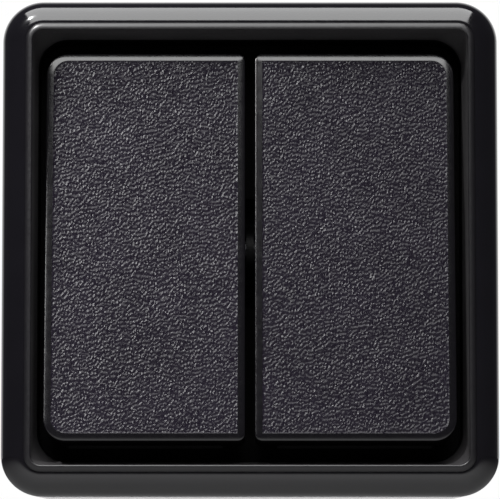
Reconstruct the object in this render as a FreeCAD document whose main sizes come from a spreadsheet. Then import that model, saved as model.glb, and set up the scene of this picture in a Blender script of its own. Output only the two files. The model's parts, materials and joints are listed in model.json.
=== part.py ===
import FreeCAD, Part
import PartDesign
import Sketcher
import math
import operator
import os

# Surface mounted light switch with two rockers, in millimetres and degrees.
# Pieces are drawn in bench axes: x to the right, y up the wall, z out of the wall.
# Their placements then turn them into the part's frame: +Z up, -Y out of the wall,
# origin in the middle of the face that lies on the wall.

SIZES = {
    # Housing moulding
    "housing_side": 66.0,
    "housing_depth": 36.0,
    "housing_corner": 5.5,
    "housing_wall": 2.0,
    "rim_roll": 3.15,
    "bead_height": 0.45,
    "bead_width": 0.95,
    "bead_setback": 0.05,
    "bead_round": 0.4,
    "crest_round": 0.2,
    "funnel_draft": 0.1,
    "funnel_drop": 5.5,
    "ledge_width": 0.35,
    "ledge_drop": 1.0,
    "ledge_thickness": 1.5,
    "opening_corner": 4.0,
    "well_wall": 1.5,
    "floor_thickness": 1.5,
    "floor_clearance": 0.75,
    "window_margin": 1.75,
    "window_height": 15.0,
    "window_corner": 1.5,
    "knockout_width": 16.0,
    "knockout_height": 14.0,
    "knockout_corner": 3.0,
    "knockout_skin": 0.8,
    # Rockers
    "rocker_side_gap": 1.1,
    "rocker_end_gap": 2.3,
    "rocker_split": 1.3,
    "rocker_tilt": 4.5,
    "rocker_rise": 4.2,
    "rocker_skirt": 6.6,
    "rocker_wall": 1.5,
    "rocker_face": 1.8,
    "rocker_edge": 0.9,
    "rocker_corner": 3.0,
    "rocker_split_corner": 1.0,
    "lip_reach": 0.4,
    "lip_height": 0.7,
    "catch_width": 10.0,
    "catch_thickness": 1.1,
    "catch_hook": 0.6,
    "catch_hook_height": 0.45,
    "catch_gap": 0.1,
    "pivot_drop": 7.2,
    # Pivot pin and ears
    "pin_radius": 1.25,
    "pin_fit": 0.05,
    "notch_gap": 0.2,
    "ear_radius": 2.3,
    "ear_foot": 8.4,
    "ear_thickness": 1.5,
    "ear_gap": 0.15,
    "web_thickness": 1.0,
    "web_foot_thickness": 4.0,
    "web_foot_height": 2.2,
    # Cradles, springs and plungers
    "cradle_width": 14.0,
    "cradle_length": 20.0,
    "cradle_plate": 1.5,
    "hub_gap": 0.05,
    "guide_radius": 3.4,
    "guide_reach": 8.2,
    "guide_roof": 2.1,
    "plunger_radius": 1.95,
    "plunger_fit": 0.08,
    "plunger_reach": 13.0,
    "plunger_tip": 1.2,
    "plunger_taper": 1.3,
    "plunger_head": 6.2,
    "stem_radius": 1.0,
    "stem_height": 1.6,
    "spring_radius": 1.5,
    "spring_wire": 0.25,
    "spring_turns": 4.0,
    "spring_gap": 0.05,
    # Contacts
    "plunger_gap": 0.15,
    "seesaw_tilt": 8.0,
    "seesaw_width": 6.0,
    "seesaw_length": 18.0,
    "seesaw_thickness": 0.8,
    "cheek_thickness": 0.55,
    "cheek_length": 4.0,
    "cheek_height": 1.5,
    "fulcrum_height": 2.45,
    "fulcrum_thickness": 0.8,
    "fulcrum_gap": 0.03,
    "fulcrum_side_gap": 0.25,
    "contact_inset": 1.6,
    "contact_radius": 1.4,
    "contact_head": 0.6,
    "contact_dome": 5.0,
    "contact_closed_gap": 0.05,
    "rivet_radius": 0.8,
    "rivet_fit": 0.04,
    "rivet_head_radius": 1.2,
    "rivet_head": 0.3,
    "bar_thickness": 1.0,
    "common_bar_width": 4.8,
    "output_bar_width": 4.0,
    "bar_gap": 0.1,
    "bar_end": 2.4,
    # Insert block and bearing cover
    "chamber_gap": 0.4,
    "chamber_side_gap": 1.0,
    "chamber_floor": 2.2,
    "chamber_height": 6.4,
    "stop_length": 1.8,
    "stop_gap": 0.2,
    "partition": 1.2,
    "insert_margin": 1.8,
    "insert_corner": 1.5,
    "cover_thickness": 2.0,
    "cover_window_width": 8.0,
    "cover_window_length": 10.0,
    # Clamps and screws
    "clamp_width": 6.4,
    "clamp_length": 5.0,
    "clamp_top_gap": 0.6,
    "clamp_wall": 0.8,
    "clamp_roof": 1.0,
    "clamp_gap": 0.1,
    "wire_radius": 1.7,
    "wire_space": 1.7,
    "screw_radius": 1.5,
    "screw_fit": 0.05,
    "screw_pass": 0.2,
    "screw_head_radius": 2.8,
    "screw_head_height": 1.5,
    "screw_head_edge": 0.4,
    "screw_slot_width": 0.8,
    "screw_slot_depth": 0.8,
    "head_gap": 0.05,
    "head_side_gap": 0.4,
    "counterbore_depth": 0.8,
    # Base plate
    "base_thickness": 2.5,
    "base_clearance": 0.15,
    "base_rim_height": 2.0,
    "base_rim_width": 1.4,
    "post_radius": 3.2,
    "post_inset": 5.0,
    "post_end_inset": 5.5,
    "bore_floor": 0.8,
    "rib_thickness": 1.2,
    "entry_width": 22.0,
    "entry_height": 12.5,
    "entry_rise": 8.75,
    "entry_corner": 3.0,
    "wall_slot_inset": 8.5,
    "wall_slot_width": 4.2,
    "wall_slot_length": 7.0,
}

GANGS = (("left", -1), ("right", 1))
WORKS = {"+": operator.add, "-": operator.sub, "*": operator.mul, "/": operator.truediv}
X_AXIS = FreeCAD.Vector(1, 0, 0)
Z_AXIS = FreeCAD.Vector(0, 0, 1)
SAME = 1e-5
WIRE_FACES = 6


class Size:
    """A length or an angle, with the expression that ties it to the sheet."""

    def __init__(self, text, value):
        self.text = text
        self.value = value

    def __add__(self, other):
        return joined(self, "+", other)

    def __radd__(self, other):
        return joined(other, "+", self)

    def __sub__(self, other):
        return joined(self, "-", other)

    def __rsub__(self, other):
        return joined(other, "-", self)

    def __mul__(self, other):
        return joined(self, "*", other)

    def __rmul__(self, other):
        return joined(other, "*", self)

    def __truediv__(self, other):
        return joined(self, "/", other)

    def __neg__(self):
        return joined(0, "-", self)


def as_size(value):
    """Give a plain number the form of a size."""
    if isinstance(value, Size):
        return value
    return Size(str(float(value)), float(value))


def joined(left, sign, right):
    """Join two sizes into one, as a number and as an expression."""
    first = as_size(left)
    second = as_size(right)
    return Size(f"({first.text} {sign} {second.text})", WORKS[sign](first.value, second.value))


def sine(angle):
    """Sine of an angle in degrees."""
    return Size(f"sin({angle.text} * 1 deg)", math.sin(math.radians(angle.value)))


def cosine(angle):
    """Cosine of an angle in degrees."""
    return Size(f"cos({angle.text} * 1 deg)", math.cos(math.radians(angle.value)))


DOC = FreeCAD.newDocument("LightSwitch")


class Sheet:
    """The driving sizes: one cell for each, found here under its alias."""

    def __init__(self):
        sheet = DOC.addObject("Spreadsheet::Sheet", "Sizes")
        for row, (alias, value) in enumerate(SIZES.items(), start=1):
            sheet.set(f"A{row}", alias)
            sheet.set(f"B{row}", str(value))
            sheet.setAlias(f"B{row}", alias)
            setattr(self, alias, Size(f"Sizes.{alias}", value))
        DOC.recompute()


S = Sheet()

# Levels above the wall
CREST_Z = S.housing_depth
DECK_Z = CREST_Z - S.bead_height
LEDGE_Z = CREST_Z - S.funnel_drop
LEDGE_EDGE_Z = LEDGE_Z - S.ledge_drop
LEDGE_UNDER_Z = LEDGE_EDGE_Z - S.ledge_thickness
PIVOT_Z = CREST_Z - S.pivot_drop
SEESAW_Z = PIVOT_Z - S.plunger_reach - S.plunger_gap - S.seesaw_thickness
BAR_TOP_Z = SEESAW_Z - S.fulcrum_height
BAR_Z = BAR_TOP_Z - S.bar_thickness
INSERT_Z = BAR_Z - S.chamber_floor
COVER_Z = BAR_Z + S.chamber_height
COVER_TOP_Z = COVER_Z + S.cover_thickness
CLAMP_Z = BAR_Z - S.clamp_wall
CLAMP_TOP_Z = COVER_Z - S.clamp_top_gap

# Opening of the housing and the rockers that fill it
CREST_HALF = S.housing_side / 2 - S.rim_roll - S.bead_setback - S.bead_width
FOOT_HALF = CREST_HALF - S.funnel_draft
OPENING_HALF = FOOT_HALF - S.ledge_width
PAIR_HALF = OPENING_HALF - S.rocker_side_gap
ROCKER_HALF_WIDTH = (PAIR_HALF - S.rocker_split / 2) / 2
ROCKER_HALF_LENGTH = OPENING_HALF - S.rocker_end_gap
SKIRT_REACH = S.rocker_skirt - S.rocker_rise
ROCKER_UNDER = S.rocker_rise - S.rocker_face
GANG_X = S.rocker_split / 2 + ROCKER_HALF_WIDTH
SKIRT_LOW = SKIRT_REACH * cosine(S.rocker_tilt) + ROCKER_HALF_LENGTH * sine(S.rocker_tilt)
FLOOR_Z = PIVOT_Z - SKIRT_LOW - S.floor_clearance
FLOOR_UNDER_Z = FLOOR_Z - S.floor_thickness

# Plan of the insert: chambers in the middle, clamps beyond them, screws near the corners.
# One diagonal pair of screws holds the insert on the base plate, the other the housing on the insert.
CONTACT_Y = S.seesaw_length / 2 - S.contact_inset
CHAMBER_HALF_LENGTH = S.seesaw_length / 2 + S.chamber_gap
CHAMBER_HALF_WIDTH = S.seesaw_width / 2 + S.chamber_side_gap
CLAMP_Y = CHAMBER_HALF_LENGTH + S.partition + S.clamp_gap + S.clamp_length / 2
POCKET_HALF_LENGTH = S.clamp_length / 2 + S.clamp_gap
POCKET_HALF_WIDTH = S.clamp_width / 2 + S.clamp_gap
EAR_OUTER_X = PAIR_HALF - S.rocker_wall - S.ear_gap
INSERT_HALF_WIDTH = EAR_OUTER_X + S.insert_margin
INSERT_HALF_LENGTH = CLAMP_Y + POCKET_HALF_LENGTH + S.partition
POST_X = INSERT_HALF_WIDTH - S.post_inset
POST_Y = INSERT_HALF_LENGTH - S.post_end_inset
WALL_SLOT_Y = S.housing_side / 2 - S.wall_slot_inset
CLAMPS = (("line", 0, -CLAMP_Y), ("left", -GANG_X, CLAMP_Y), ("right", GANG_X, CLAMP_Y))
INSERT_SCREWS = (("left", -POST_X, POST_Y), ("right", POST_X, -POST_Y))
HOUSING_SCREWS = (("upper", POST_X, POST_Y), ("lower", -POST_X, -POST_Y))


def bind(item, values):
    """Tie properties of an object to sizes of the sheet."""
    for path, value in values.items():
        item.setExpression(path, as_size(value).text)


def tie(sketch, geometry, end, x, y):
    """Hold one point of a sketch at a place given by two sizes."""
    for kind, axis, value in (("DistanceX", -2, x), ("DistanceY", -1, y)):
        if isinstance(value, Size):
            number = sketch.addConstraint(Sketcher.Constraint(kind, geometry, end, value.value))
            sketch.setExpression(f"Constraints[{number}]", value.text)
        elif value is not None:
            sketch.addConstraint(Sketcher.Constraint("PointOnObject", geometry, end, axis))


def give_radius(sketch, geometry, radius):
    """Tie the radius of a circle or an arc."""
    number = sketch.addConstraint(Sketcher.Constraint("Radius", geometry, as_size(radius).value))
    sketch.setExpression(f"Constraints[{number}]", as_size(radius).text)


def vector(x, y):
    """Point in the plane of a sketch."""
    return FreeCAD.Vector(as_size(x).value, as_size(y).value, 0)


def polygon(sketch, corners):
    """Closed outline of straight edges through the corners."""
    count = len(corners)
    lines = []
    for index, corner in enumerate(corners):
        following = corners[(index + 1) % count]
        lines.append(sketch.addGeometry(Part.LineSegment(vector(*corner), vector(*following)), False))
    for index, line in enumerate(lines):
        sketch.addConstraint(Sketcher.Constraint("Coincident", line, 2, lines[(index + 1) % count], 1))
        tie(sketch, line, 1, *corners[index])


def rectangle(sketch, left, right, low, high):
    """Rectangle between four lines."""
    polygon(sketch, [(left, low), (right, low), (right, high), (left, high)])


def arc(sketch, x, y, radius, start, end):
    """Arc of a circle about a point, from one angle to another in degrees."""
    circle = Part.Circle(vector(x, y), Z_AXIS, as_size(radius).value)
    return sketch.addGeometry(Part.ArcOfCircle(circle, math.radians(start), math.radians(end)), False)


def rounded(sketch, left, right, low, high, radii):
    """Rectangle with rounded corners: one radius, or four from lower left anticlockwise."""
    lower_left, lower_right, upper_right, upper_left = radii if isinstance(radii, tuple) else (radii,) * 4
    runs = [
        ((left + lower_left, low), (right - lower_right, low)),
        ((right, low + lower_right), (right, high - upper_right)),
        ((right - upper_right, high), (left + upper_left, high)),
        ((left, high - upper_left), (left, low + lower_left)),
    ]
    lines = [sketch.addGeometry(Part.LineSegment(vector(*a), vector(*b)), False) for a, b in runs]
    arcs = [
        arc(sketch, right - lower_right, low + lower_right, lower_right, 270, 360),
        arc(sketch, right - upper_right, high - upper_right, upper_right, 0, 90),
        arc(sketch, left + upper_left, high - upper_left, upper_left, 90, 180),
        arc(sketch, left + lower_left, low + lower_left, lower_left, 180, 270),
    ]
    for index in range(4):
        sketch.addConstraint(Sketcher.Constraint("Tangent", lines[index], 2, arcs[index], 1))
        sketch.addConstraint(Sketcher.Constraint("Tangent", arcs[index], 2, lines[(index + 1) % 4], 1))
        direction = "Horizontal" if index % 2 == 0 else "Vertical"
        sketch.addConstraint(Sketcher.Constraint(direction, lines[index]))
    tie(sketch, lines[0], 1, None, low)
    tie(sketch, lines[1], 1, right, None)
    tie(sketch, lines[2], 1, None, high)
    tie(sketch, lines[3], 1, left, None)
    for geometry, radius in zip(arcs, (lower_right, upper_right, upper_left, lower_left)):
        give_radius(sketch, geometry, radius)


def rounded_square(sketch, half, radius):
    """Square about the middle with rounded corners."""
    rounded(sketch, -half, half, -half, half, radius)


def disc(sketch, x, y, radius):
    """Circle about a point."""
    circle = sketch.addGeometry(Part.Circle(vector(x, y), Z_AXIS, as_size(radius).value), False)
    tie(sketch, circle, 3, x, y)
    give_radius(sketch, circle, radius)


def upright_slot(sketch, x, y, width, length):
    """Slot with round ends that runs up the wall."""
    radius = width / 2
    reach = (length - width) / 2
    top = arc(sketch, x, y + reach, radius, 0, 180)
    low = arc(sketch, x, y - reach, radius, 180, 360)
    corners = [vector(x + i * radius, y + j * reach) for i, j in ((-1, 1), (-1, -1), (1, -1), (1, 1))]
    left = sketch.addGeometry(Part.LineSegment(*corners[:2]), False)
    right = sketch.addGeometry(Part.LineSegment(*corners[2:]), False)
    for first, second in ((top, left), (left, low), (low, right), (right, top)):
        sketch.addConstraint(Sketcher.Constraint("Tangent", first, 2, second, 1))
    sketch.addConstraint(Sketcher.Constraint("Vertical", left))
    tie(sketch, top, 3, x, y + reach)
    tie(sketch, low, 3, None, y - reach)
    give_radius(sketch, top, radius)
    sketch.addConstraint(Sketcher.Constraint("Equal", top, low))


def ear_outline(sketch, foot_half, low, centre, radius):
    """Ear that narrows from a wide foot to a round top about the pin."""
    rise = (centre - low).value
    run = foot_half.value
    slant = math.hypot(rise, run)
    angle = math.atan2(rise, -run) - math.asin(radius.value / slant)
    reach = math.sqrt(slant ** 2 - radius.value ** 2)
    touch_x = run + reach * math.cos(angle)
    touch_y = low.value + reach * math.sin(angle)
    swing = math.degrees(math.atan2(touch_y - centre.value, touch_x))
    foot = sketch.addGeometry(Part.LineSegment(vector(-run, low), vector(run, low)), False)
    right = sketch.addGeometry(Part.LineSegment(vector(run, low), vector(touch_x, touch_y)), False)
    top = arc(sketch, 0, centre, radius, swing, 180 - swing)
    left = sketch.addGeometry(Part.LineSegment(vector(-touch_x, touch_y), vector(-run, low)), False)
    sketch.addConstraint(Sketcher.Constraint("Coincident", foot, 2, right, 1))
    sketch.addConstraint(Sketcher.Constraint("Tangent", right, 2, top, 1))
    sketch.addConstraint(Sketcher.Constraint("Tangent", top, 2, left, 1))
    sketch.addConstraint(Sketcher.Constraint("Coincident", left, 2, foot, 1))
    tie(sketch, foot, 1, -foot_half, low)
    tie(sketch, foot, 2, foot_half, low)
    tie(sketch, top, 3, 0, centre)
    give_radius(sketch, top, radius)


class Moulding:
    """One body of the document, built feature by feature."""

    def __init__(self, label):
        self.body = DOC.addObject("PartDesign::Body", label)
        self.body.Label = label

    def sketch(self, plane, offset, draw):
        """Sketch parallel to a main plane, at an offset along the plane's normal."""
        sketch = self.body.newObject("Sketcher::SketchObject", "Sketch")
        origin = [item for item in self.body.Origin.OriginFeatures if item.Role == plane][0]
        sketch.AttachmentSupport = [(origin, "")]
        sketch.MapMode = "FlatFace"
        bind(sketch, {"AttachmentOffset.Base.z": offset})
        draw(sketch)
        return sketch

    def volume(self):
        """Volume of the body so far."""
        DOC.recompute()
        return self.body.Shape.Volume if not self.body.Shape.isNull() else 0.0

    def feature(self, kind, sketch, values, back=False):
        """Add or remove material with one sketch, and see that the volume changes the right way."""
        before = self.volume()
        item = self.body.newObject(f"PartDesign::{kind}", kind)
        item.Profile = sketch
        bind(item, values)
        item.Reversed = back
        sketch.Visibility = False
        grown = self.volume() - before
        if (grown > 0) != (kind == "Pad") or abs(grown) < SAME:
            raise ValueError(f"{self.body.Label}: {item.Name} changed the volume by {grown}")
        return item

    def pad(self, plane, offset, length, draw, back=False):
        """Pad a sketch."""
        return self.feature("Pad", self.sketch(plane, offset, draw), {"Length": length}, back)

    def pocket(self, plane, offset, length, draw, back=False):
        """Cut a sketch out."""
        return self.feature("Pocket", self.sketch(plane, offset, draw), {"Length": length}, back)

    def funnel(self, upper, lower):
        """Cut a loft out between two sketches, each given by its level and its outline."""
        before = self.volume()
        wide, narrow = [self.sketch("XY_Plane", z, draw) for z, draw in (upper, lower)]
        item = self.body.newObject("PartDesign::SubtractiveLoft", "Funnel")
        item.Profile = wide
        item.Sections = [narrow]
        item.Ruled = True
        if self.volume() > before - SAME:
            raise ValueError(f"{self.body.Label}: the funnel cut nothing")

    def edged(self, kind, values, test):
        """Finish the edges that pass a test."""
        DOC.recompute()
        base = self.body.Tip
        names = [f"Edge{number}" for number, edge in enumerate(base.Shape.Edges, start=1) if test(edge)]
        if not names:
            raise ValueError(f"{self.body.Label}: no edge to finish")
        item = self.body.newObject(f"PartDesign::{kind}", kind)
        item.Base = (base, names)
        bind(item, values)
        DOC.recompute()

    def fillet(self, radius, test):
        """Round the edges that pass a test."""
        self.edged("Fillet", {"Radius": radius}, test)

    def chamfer(self, size, test):
        """Bevel the edges that pass a test."""
        self.edged("Chamfer", {"Size": size}, test)


def at_level(edge, z):
    """Whether an edge lies flat at a level."""
    box = edge.BoundBox
    return abs(box.ZMin - z.value) < SAME and abs(box.ZMax - z.value) < SAME


def reach_of(edge):
    """How far an edge comes out from the middle, in x or y."""
    box = edge.BoundBox
    return max(abs(box.XMin), abs(box.XMax), abs(box.YMin), abs(box.YMax))


def block(name, left, right, low, high, bottom, top):
    """Box between six planes."""
    item = DOC.addObject("Part::Box", name)
    bind(item, {"Length": right - left, "Width": high - low, "Height": top - bottom})
    bind(item, {"Placement.Base.x": left, "Placement.Base.y": low, "Placement.Base.z": bottom})
    return item


def rod(name, x, y, z, radius, length):
    """Cylinder that stands along z from a point."""
    item = DOC.addObject("Part::Cylinder", name)
    bind(item, {"Radius": radius, "Height": length})
    bind(item, {"Placement.Base.x": x, "Placement.Base.y": y, "Placement.Base.z": z})
    return item


def lying_rod(name, x, y, z, radius, length):
    """Cylinder that lies along x from a point."""
    item = rod(name, x, y, z, radius, length)
    item.Placement.Rotation = FreeCAD.Rotation(FreeCAD.Vector(0, 1, 0), 90)
    return item


def fused(label, items):
    """One piece made of several."""
    item = DOC.addObject("Part::MultiFuse", label)
    item.Label = label
    item.Shapes = items
    item.Refine = True
    return item


def cut(label, base, tool):
    """A piece with another cut out of it."""
    item = DOC.addObject("Part::Cut", label)
    item.Label = label
    item.Base = base
    item.Tool = tool
    item.Refine = True
    return item


PIECES = []


def stand(item, x=0, y=0, z=0, tilt=0):
    """Turn a piece from bench axes into the part's frame, tilted about x where it rests tilted."""
    turn = FreeCAD.Rotation(X_AXIS, (90 + as_size(tilt)).value)
    item.Placement = FreeCAD.Placement(FreeCAD.Vector(0, 0, 0), turn)
    bind(item, {"Placement.Rotation.Angle": 90 + as_size(tilt)})
    bind(item, {"Placement.Base.x": x, "Placement.Base.y": -as_size(z), "Placement.Base.z": y})
    PIECES.append(item)


def make_housing():
    """Black cover: rolled glossy rim, satin funnel and a well with a floor under the rockers."""
    side = S.housing_side / 2
    bead_corner = S.housing_corner - S.rim_roll - S.bead_setback
    shell = Moulding("housing")
    shell.pad("XY_Plane", 0, DECK_Z, lambda k: rounded_square(k, side, S.housing_corner))
    shell.fillet(S.rim_roll, lambda edge: at_level(edge, DECK_Z))
    bead_half = CREST_HALF + S.bead_width
    shell.pad("XY_Plane", DECK_Z, S.bead_height, lambda k: rounded_square(k, bead_half, bead_corner))
    shell.fillet(S.bead_round, lambda edge: at_level(edge, CREST_Z))
    inner = side - S.housing_wall
    inner_corner = S.housing_corner - S.housing_wall
    shell.pocket("XY_Plane", 0, LEDGE_UNDER_Z, lambda k: rounded_square(k, inner, inner_corner), True)
    well_half = OPENING_HALF + S.well_wall
    well_corner = S.opening_corner + S.well_wall
    well_depth = LEDGE_UNDER_Z - FLOOR_UNDER_Z
    shell.pad("XY_Plane", FLOOR_UNDER_Z, well_depth, lambda k: rounded_square(k, well_half, well_corner))
    shell.pocket(
        "XY_Plane", CREST_Z, CREST_Z - FLOOR_Z, lambda k: rounded_square(k, OPENING_HALF, S.opening_corner))
    rings = (
        (CREST_Z, lambda k: rounded_square(k, CREST_HALF, bead_corner - S.bead_width)),
        (LEDGE_Z, lambda k: rounded_square(k, FOOT_HALF, S.opening_corner + S.ledge_width)),
        (LEDGE_EDGE_Z, lambda k: rounded_square(k, OPENING_HALF, S.opening_corner)),
    )
    for upper, lower in zip(rings, rings[1:]):
        shell.funnel(upper, lower)
    shell.fillet(
        S.crest_round,
        lambda edge: at_level(edge, CREST_Z) and reach_of(edge) < CREST_HALF.value + SAME,
    )
    window_half = OPENING_HALF - S.window_margin
    window_rise = S.window_height / 2
    shell.pocket(
        "XY_Plane", FLOOR_Z, S.floor_thickness,
        lambda k: rounded(k, -window_half, window_half, -window_rise, window_rise, S.window_corner),
    )
    hole = S.screw_radius + S.screw_pass
    shell.pocket(
        "XY_Plane", FLOOR_Z, S.floor_thickness, lambda k: [disc(k, x, y, hole) for _, x, y in HOUSING_SCREWS])
    depth = S.housing_wall - S.knockout_skin
    width = S.knockout_width / 2
    for offset, outward in ((-inner, False), (inner, True)):
        shell.pocket(
            "XZ_Plane", offset, depth,
            lambda k: rounded(k, -width, width, -S.knockout_corner * 2, S.knockout_height, S.knockout_corner),
            outward,
        )
    stand(shell.body)


def make_base_plate():
    """Plate on the wall: low rim, four ribbed posts, cable entry and two slots for wall screws."""
    half = S.housing_side / 2 - S.housing_wall - S.base_clearance
    corner = S.housing_corner - S.housing_wall - S.base_clearance
    rim_half = half - S.base_rim_width
    rim_corner = corner - S.base_rim_width
    base = Moulding("base_plate")
    base.pad("XY_Plane", 0, S.base_thickness + S.base_rim_height, lambda k: rounded_square(k, half, corner))
    base.pocket(
        "XY_Plane", S.base_thickness + S.base_rim_height, S.base_rim_height,
        lambda k: rounded_square(k, rim_half, rim_corner),
    )
    feet = [(x * POST_X, y * POST_Y) for x in (-1, 1) for y in (-1, 1)]
    base.pad(
        "XY_Plane", S.base_thickness, INSERT_Z - S.base_thickness,
        lambda k: [disc(k, x, y, S.post_radius) for x, y in feet],
    )
    rim_z = S.base_thickness + S.base_rim_height
    for x, y in feet:
        way = 1 if x.value > 0 else -1
        start = x + way * S.post_radius / 2
        outline = [
            (start, S.base_thickness), (way * rim_half, S.base_thickness), (way * rim_half, rim_z),
            (way * INSERT_HALF_WIDTH, INSERT_Z), (start, INSERT_Z),
        ]
        base.pad("XZ_Plane", -y - S.rib_thickness / 2, S.rib_thickness, lambda k: polygon(k, outline))
    bore = S.screw_radius + S.screw_fit
    base.pocket(
        "XY_Plane", INSERT_Z, INSERT_Z - S.bore_floor,
        lambda k: [disc(k, x, y, bore) for _, x, y in INSERT_SCREWS],
    )
    entry_low = S.entry_rise - S.entry_height / 2
    base.pocket(
        "XY_Plane", S.base_thickness, S.base_thickness,
        lambda k: rounded(
            k, -S.entry_width / 2, S.entry_width / 2, entry_low, entry_low + S.entry_height, S.entry_corner),
    )
    for way in (-1, 1):
        base.pocket(
            "XY_Plane", S.base_thickness, S.base_thickness,
            lambda k: upright_slot(k, 0, way * WALL_SLOT_Y, S.wall_slot_width, S.wall_slot_length),
        )
    stand(base.body)


def insert_outline(sketch):
    """Outline that the insert block and its cover share."""
    width = INSERT_HALF_WIDTH
    length = INSERT_HALF_LENGTH
    rounded(sketch, -width, width, -length, length, S.insert_corner)


def make_insert_base():
    """Block with two contact chambers, grooves for the bars, clamp pockets and wire holes."""
    blockwork = Moulding("insert_base")
    blockwork.pad("XY_Plane", INSERT_Z, COVER_Z - INSERT_Z, insert_outline)
    stop_y = S.stop_length - CHAMBER_HALF_LENGTH
    stop_drop = S.seesaw_length / 2 * sine(S.seesaw_tilt) + S.stop_gap
    stop_z = SEESAW_Z - stop_drop
    for _, way in GANGS:
        left = way * GANG_X - CHAMBER_HALF_WIDTH
        right = way * GANG_X + CHAMBER_HALF_WIDTH
        blockwork.pocket(
            "XY_Plane", COVER_Z, S.chamber_height,
            lambda k: rectangle(k, left, right, stop_y, CHAMBER_HALF_LENGTH),
        )
        blockwork.pocket(
            "XY_Plane", COVER_Z, COVER_Z - stop_z,
            lambda k: rectangle(k, left, right, -CHAMBER_HALF_LENGTH, stop_y),
        )
    groove = S.common_bar_width / 2 + S.bar_gap
    tail = S.output_bar_width / 2 + S.bar_gap
    pocket_y = CLAMP_Y - POCKET_HALF_LENGTH
    blockwork.pocket(
        "XY_Plane", COVER_Z, S.chamber_height, lambda k: rectangle(k, -GANG_X, GANG_X, -groove, groove))
    blockwork.pocket(
        "XY_Plane", COVER_Z, S.chamber_height, lambda k: rectangle(k, -tail, tail, -pocket_y, -groove))
    for _, way in GANGS:
        blockwork.pocket(
            "XY_Plane", COVER_Z, S.chamber_height,
            lambda k: rectangle(k, way * GANG_X - tail, way * GANG_X + tail, CHAMBER_HALF_LENGTH, pocket_y),
        )
    wire_z = BAR_TOP_Z + S.wire_radius
    for _, x, y in CLAMPS:
        x = as_size(x)
        sides = (x - POCKET_HALF_WIDTH, x + POCKET_HALF_WIDTH)
        ends = (y - POCKET_HALF_LENGTH, y + POCKET_HALF_LENGTH)
        blockwork.pocket(
            "XY_Plane", COVER_Z, COVER_Z - CLAMP_Z, lambda k: rectangle(k, *sides, *ends))
        outer = INSERT_HALF_LENGTH if y.value > 0 else -INSERT_HALF_LENGTH
        blockwork.pocket(
            "XZ_Plane", -outer, S.partition, lambda k: disc(k, x, wire_z, S.wire_radius), y.value > 0)
    hole = S.screw_radius + S.screw_pass
    blockwork.pocket(
        "XY_Plane", COVER_Z, COVER_Z - INSERT_Z, lambda k: [disc(k, x, y, hole) for _, x, y in INSERT_SCREWS])
    bore = S.screw_radius + S.screw_fit
    blockwork.pocket(
        "XY_Plane", COVER_Z, COVER_Z - INSERT_Z - S.bore_floor,
        lambda k: [disc(k, x, y, bore) for _, x, y in HOUSING_SCREWS],
    )
    stand(blockwork.body)


def make_bearing_cover():
    """Cover of the insert with three ears that carry the pivot pin."""
    cover = Moulding("bearing_cover")
    cover.pad("XY_Plane", COVER_Z, S.cover_thickness, insert_outline)
    thin = S.web_thickness / 2
    thick = S.web_foot_thickness / 2
    foot = S.ear_foot / 2
    inner = EAR_OUTER_X - S.ear_thickness
    ears = ((-thin, S.web_thickness), (inner, S.ear_thickness), (-EAR_OUTER_X, S.ear_thickness))
    for start, length in ears:
        cover.pad(
            "YZ_Plane", start, length,
            lambda k: ear_outline(k, foot, COVER_TOP_Z, PIVOT_Z, S.ear_radius),
        )
    cover.pad("XY_Plane", COVER_TOP_Z, S.web_foot_height, lambda k: rectangle(k, -thick, thick, -foot, foot))
    bore = S.pin_radius + S.pin_fit
    cover.pocket("YZ_Plane", -EAR_OUTER_X, EAR_OUTER_X * 2, lambda k: disc(k, 0, PIVOT_Z, bore), True)
    width = S.cover_window_width / 2
    length = S.cover_window_length / 2
    for _, way in GANGS:
        cover.pocket(
            "XY_Plane", COVER_TOP_Z, S.cover_thickness,
            lambda k: rectangle(k, way * GANG_X - width, way * GANG_X + width, -length, length),
        )
    access = S.screw_head_radius + S.head_side_gap
    cover.pocket(
        "XY_Plane", COVER_TOP_Z, S.cover_thickness, lambda k: [disc(k, x, y, access) for _, x, y in CLAMPS])
    cover.pocket(
        "XY_Plane", COVER_TOP_Z, S.counterbore_depth,
        lambda k: [disc(k, x, y, access) for _, x, y in INSERT_SCREWS],
    )
    hole = S.screw_radius + S.screw_pass
    cover.pocket(
        "XY_Plane", COVER_TOP_Z - S.counterbore_depth, S.cover_thickness - S.counterbore_depth,
        lambda k: [disc(k, x, y, hole) for _, x, y in INSERT_SCREWS],
    )
    cover.pocket(
        "XY_Plane", COVER_TOP_Z, S.cover_thickness,
        lambda k: [disc(k, x, y, hole) for _, x, y in HOUSING_SCREWS],
    )
    stand(cover.body)


def make_pivot_pin():
    """Steel pin that both cradles turn on."""
    pin = lying_rod("pivot_pin", -EAR_OUTER_X, 0, 0, S.pin_radius, EAR_OUTER_X * 2)
    pin.Label = "pivot_pin"
    pin.setExpression("Placement.Base.x", None)
    pin.setExpression("Placement.Base.y", None)
    bind(pin, {"Placement.Base.x": -EAR_OUTER_X, "Placement.Base.y": -PIVOT_Z, "Placement.Base.z": 0})
    PIECES.append(pin)


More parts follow.
